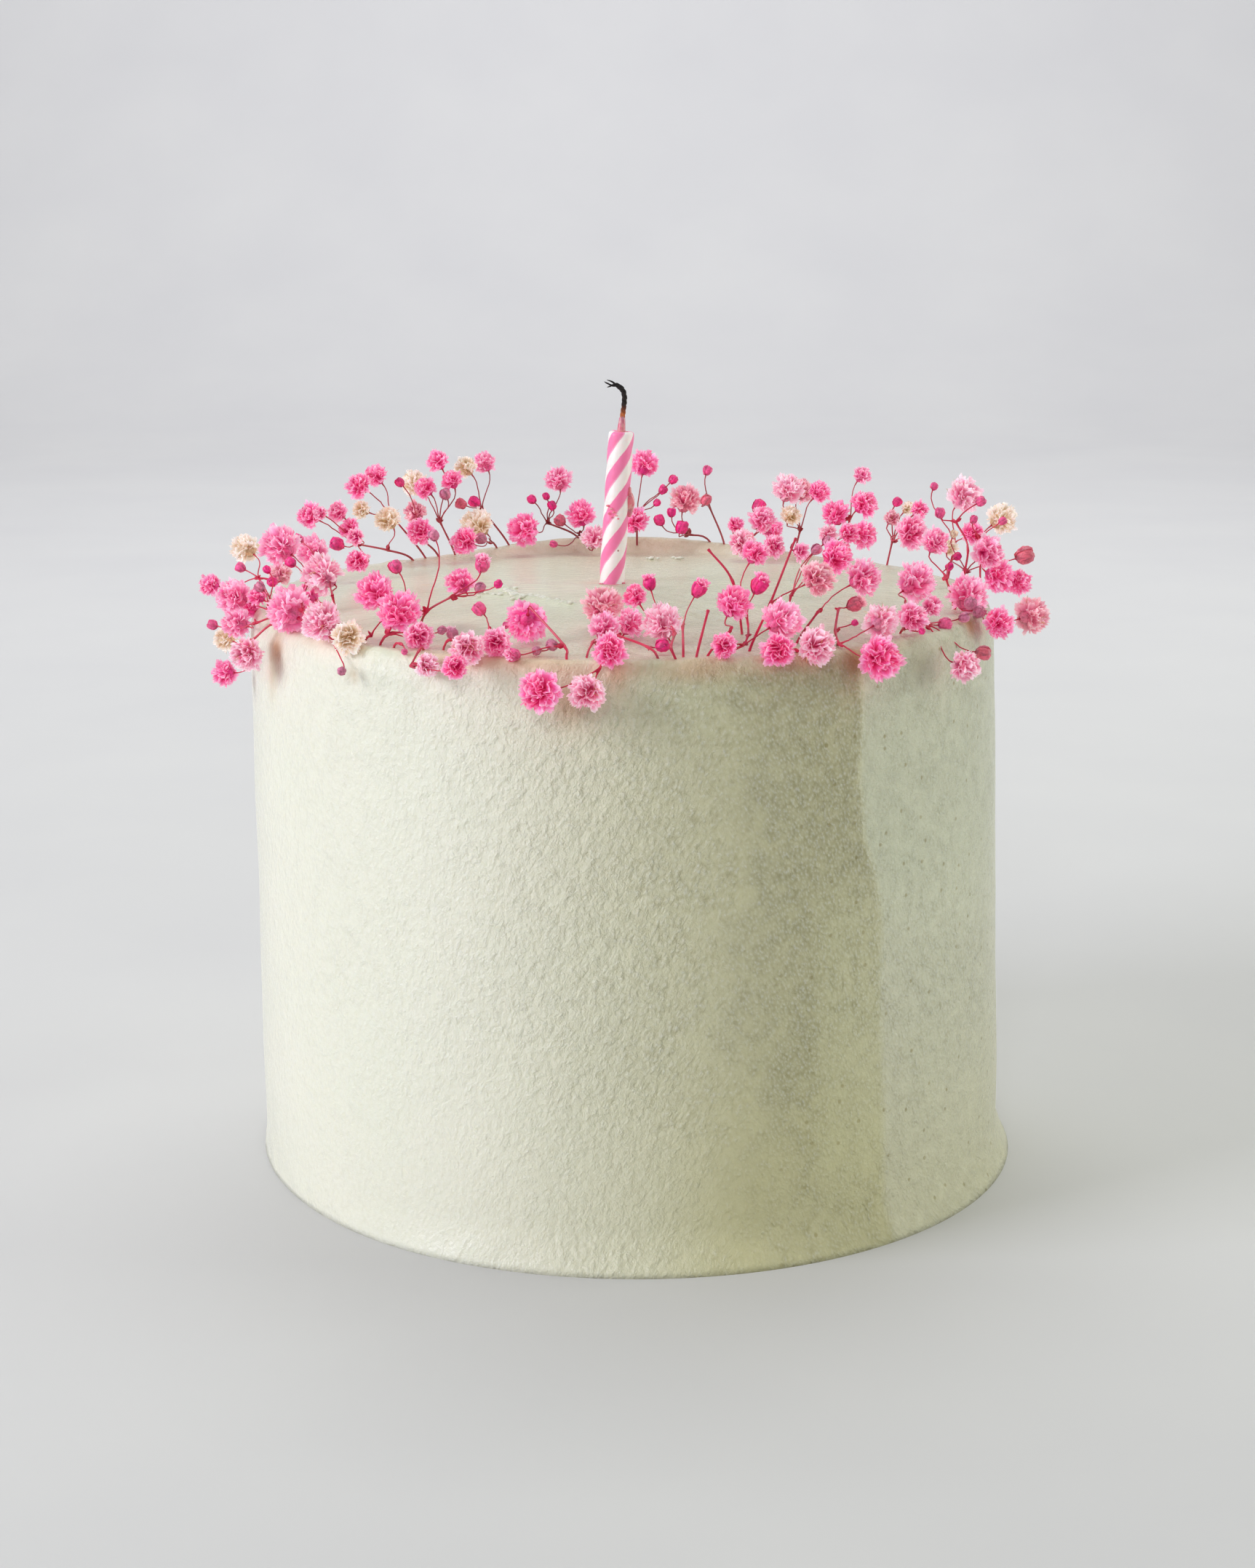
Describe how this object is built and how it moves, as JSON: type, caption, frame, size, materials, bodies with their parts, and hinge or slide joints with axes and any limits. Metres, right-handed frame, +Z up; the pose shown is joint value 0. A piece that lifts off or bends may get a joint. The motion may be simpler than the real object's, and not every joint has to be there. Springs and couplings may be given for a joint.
{
  "type": "birthday cake with candle",
  "caption": "Tall round cake in pale textured frosting, with a striped spiral candle in the middle and a ring of small dried pink flowers round its rim.",
  "frame": {"origin": "middle of the cake's flat underside, on the surface that it stands on", "axes": "+Z up along the cake's height, +X to the right and +Y to the back as seen from its front"},
  "size_m": [0.1895, 0.1791, 0.1734],
  "materials": {
    "frosting": "pale cream butter frosting, scraped to a fine pebbled skin with a soft gloss",
    "wax": "paraffin wax twisted in white and pink bands, slightly shiny",
    "wick": "plaited cotton, burnt black at its end",
    "petals": "thin dried petals, matt, from crimson pink to cream",
    "stems": "thin dried stems, reddish brown, slightly rough"
  },
  "bodies": {
    "root": {"cake": "frosting", "candle": "wax", "wick": "wick", "sprig_01": "petals", "sprig_02": "petals", "sprig_03": "petals", "sprig_04": "petals", "sprig_05": "petals", "sprig_06": "petals", "sprig_07": "petals", "sprig_08": "petals", "sprig_09": "petals", "sprig_10": "stems", "sprig_11": "petals", "sprig_12": "petals", "sprig_13": "petals", "sprig_14": "petals", "sprig_15": "petals", "sprig_16": "petals", "sprig_17": "petals", "sprig_18": "petals", "sprig_19": "petals", "sprig_20": "petals", "sprig_21": "petals", "sprig_22": "stems", "sprig_23": "stems", "sprig_24": "petals", "sprig_25": "petals", "sprig_26": "petals", "sprig_27": "petals", "sprig_28": "petals", "sprig_29": "petals", "sprig_30": "petals", "sprig_31": "petals", "sprig_32": "petals", "sprig_33": "petals", "sprig_34": "petals", "sprig_35": "petals", "sprig_36": "petals", "sprig_37": "petals", "sprig_38": "petals", "sprig_39": "petals", "sprig_40": "petals", "sprig_41": "petals", "sprig_42": "petals", "sprig_43": "petals", "sprig_44": "petals", "sprig_45": "petals", "sprig_46": "petals", "sprig_47": "petals", "sprig_48": "petals", "sprig_49": "petals", "sprig_50": "petals", "sprig_51": "petals", "sprig_52": "petals", "sprig_53": "petals", "sprig_54": "petals"}
  },
  "joints": []
}
